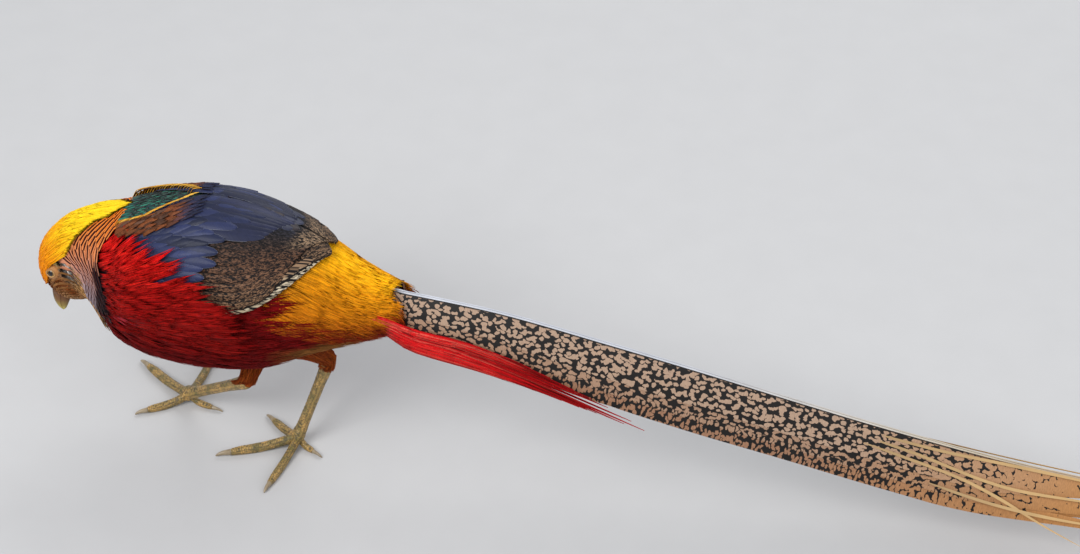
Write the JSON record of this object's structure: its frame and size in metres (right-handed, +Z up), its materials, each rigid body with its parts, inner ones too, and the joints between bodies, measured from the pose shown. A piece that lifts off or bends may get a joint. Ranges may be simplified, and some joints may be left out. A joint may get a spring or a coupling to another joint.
{
  "type": "golden pheasant cock, life-size model",
  "caption": "Life-size golden pheasant cock walking with lowered head, long spotted tail held out behind, for display on a flat floor.",
  "frame": {"origin": "middle of the bounding box's underside, on the floor the bird stands on", "axes": "+X along the body towards the tail's tip, -X towards the bill, +Y to the bird's right, +Z up from the floor"},
  "size_m": [0.8316, 0.1324, 0.2014],
  "materials": {
    "crest_feathers": "silky golden hair-like feathers, soft sheen",
    "cape_feathers": "broad orange feathers with blue-black bars",
    "body_feathers": "scarlet to crimson hair-like plumage, matt",
    "rump_feathers": "golden yellow hair-like plumage, silky",
    "wing_feathers": "steel-blue, brown and buff vanes, low sheen",
    "tail_feathers": "black vanes with cinnamon spots, buff tips",
    "thigh_feathers": "rufous down, matt",
    "leg_scales": "olive-yellow scaled skin, satin",
    "claws": "dull brown horn",
    "bill": "yellowish olive horn, satin",
    "eyes": "wet pale iris with a dark pupil"
  },
  "bodies": {
    "root": {"bill_lower": "bill", "bill_upper": "bill", "claw_left_hind": "claws", "claw_left_inner": "claws", "claw_left_middle": "claws", "claw_left_outer": "claws", "claw_right_hind": "claws", "claw_right_inner": "claws", "claw_right_middle": "claws", "claw_right_outer": "claws", "eye_left": "eyes", "eye_right": "eyes", "foot_left": "leg_scales", "foot_right": "leg_scales", "head": "crest_feathers", "neck": "cape_feathers", "rump": "rump_feathers", "tail_left": "tail_feathers", "tail_right": "tail_feathers", "tarsus_left": "leg_scales", "tarsus_right": "leg_scales", "thigh_left": "thigh_feathers", "thigh_right": "thigh_feathers", "torso": "body_feathers", "wing_left": "wing_feathers", "wing_right": "wing_feathers"}
  },
  "joints": []
}
